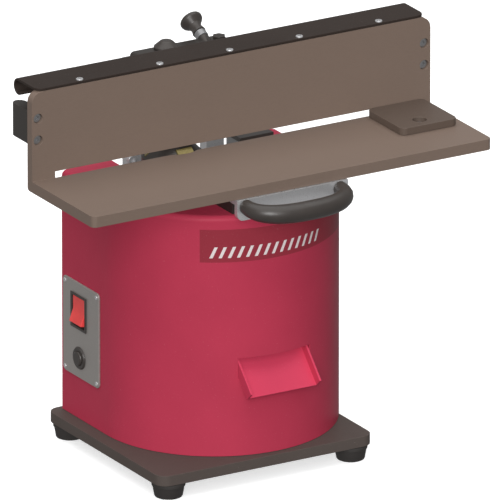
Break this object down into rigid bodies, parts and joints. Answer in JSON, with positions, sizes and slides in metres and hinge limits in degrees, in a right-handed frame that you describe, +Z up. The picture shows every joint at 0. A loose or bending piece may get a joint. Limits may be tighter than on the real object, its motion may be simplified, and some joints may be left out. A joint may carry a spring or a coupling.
{
  "type": "jointer",
  "caption": "Benchtop edge-chamfering jointer: long L-shaped guide on a round red sheet-metal motor body with chip chute, rocker switch and footed base",
  "frame": {"origin": "middle of the footprint at floor level, where the four rubber feet stand", "axes": "+X along the guide to the operator's right, +Y to the back (away from the operator), +Z up"},
  "size_m": [0.4, 0.2403, 0.3661],
  "materials": {
    "base_grey": "dark warm-grey enamel, semi-matt",
    "foot_rubber": "black moulded rubber, matt",
    "body_red": "crimson enamel on sheet steel, satin",
    "switch_alu": "satin aluminium plate",
    "black_plastic": "black moulded plastic, slight sheen",
    "red_plastic": "glossy red",
    "bright_steel": "bright machined steel",
    "slide_steel": "blackened steel",
    "motor_grey": "grey enamel",
    "guide_brown": "ground casting, warm brown-grey, satin",
    "guard_black": "black sheet, semi-matt",
    "insert_gold": "gold-coloured coated carbide",
    "core_steel": "laminated core steel"
  },
  "bodies": {
    "machine": {"base_plate": "base_grey", "foot_front_left": "foot_rubber", "foot_front_right": "foot_rubber", "foot_rear_left": "foot_rubber", "foot_rear_right": "foot_rubber", "body_shell": "body_red", "rear_cover": "body_red", "chip_chute": "body_red", "switch_plate": "switch_alu", "switch_bezel": "black_plastic", "reset_collar": "black_plastic", "cord_gland": "black_plastic", "terminal_lid": "black_plastic", "column_left": "bright_steel", "column_right": "bright_steel", "column_screw": "bright_steel", "bridge_bolt": "bright_steel", "bearing_upper": "bright_steel", "bearing_lower": "bright_steel", "foot_bolt_front_left": "bright_steel", "foot_bolt_front_right": "bright_steel", "foot_bolt_rear_left": "bright_steel", "foot_bolt_rear_right": "bright_steel", "slide_base": "slide_steel", "motor_plate": "slide_steel", "bridge": "motor_grey", "motor_housing": "motor_grey", "motor_lower_cover": "motor_grey", "terminal_box": "motor_grey", "stator_core": "core_steel"},
    "guide": {"guide_plate": "guide_brown", "saddle": "slide_steel", "end_block_left": "slide_steel", "end_block_right": "slide_steel", "tie_bar": "bright_steel", "top_guard": "guard_black", "fence_screw_left_lower": "bright_steel", "fence_screw_left_upper": "bright_steel", "fence_screw_right_lower": "bright_steel", "fence_screw_right_upper": "bright_steel", "stop_plate": "guide_brown", "stop_screw": "bright_steel", "handle_bracket": "bright_steel", "handle_grip": "black_plastic"},
    "spindle": {"spindle_shaft": "bright_steel", "rotor": "core_steel", "cutter_head": "slide_steel", "cutter_insert_1": "insert_gold", "cutter_insert_2": "insert_gold", "cutter_insert_3": "insert_gold", "cutter_nut": "bright_steel", "cooling_fan": "black_plastic"},
    "depth_adjuster": {"depth_knob": "black_plastic", "knob_collar": "bright_steel", "adjuster_screw": "bright_steel"},
    "lock": {"lock_knob": "black_plastic"},
    "rocker": {"switch_rocker": "red_plastic"},
    "reset": {"reset_button": "black_plastic"}
  },
  "joints": [
    {"name": "guide_slide", "type": "slide", "parent": "machine", "child": "guide", "axis": [0, 1, 0], "range_m": [-0.001, 0.0015]},
    {"name": "spindle_spin", "type": "hinge", "parent": "machine", "child": "spindle", "pos_m": [-0.048, 0.04335, 0.2735], "axis": [0, 0, 1], "continuous": true},
    {"name": "depth_knob_turn", "type": "hinge", "parent": "machine", "child": "depth_adjuster", "pos_m": [0.0115, 0.0943, 0.3468], "axis": [0, 0.9063, 0.4226], "range_deg": [-240, 360]},
    {"name": "lock_knob_turn", "type": "hinge", "parent": "machine", "child": "lock", "pos_m": [-0.03, 0.0863, 0.3468], "axis": [0, 0, 1], "range_deg": [-120, 120]},
    {"name": "rocker_tip", "type": "hinge", "parent": "machine", "child": "rocker", "pos_m": [-0.1187, 0.0752, 0.12415], "axis": [0, 1, 0], "range_deg": [-20, 0]},
    {"name": "reset_push", "type": "slide", "parent": "machine", "child": "reset", "axis": [1, 0, 0], "range_m": [0, 0.0015], "stiffness_N_per_m": 150, "springref_m": -0.001}
  ],
  "couplings": [
    {"joint": "depth_knob_turn", "follows": "guide_slide", "rad_per_m": 4188.8}
  ]
}
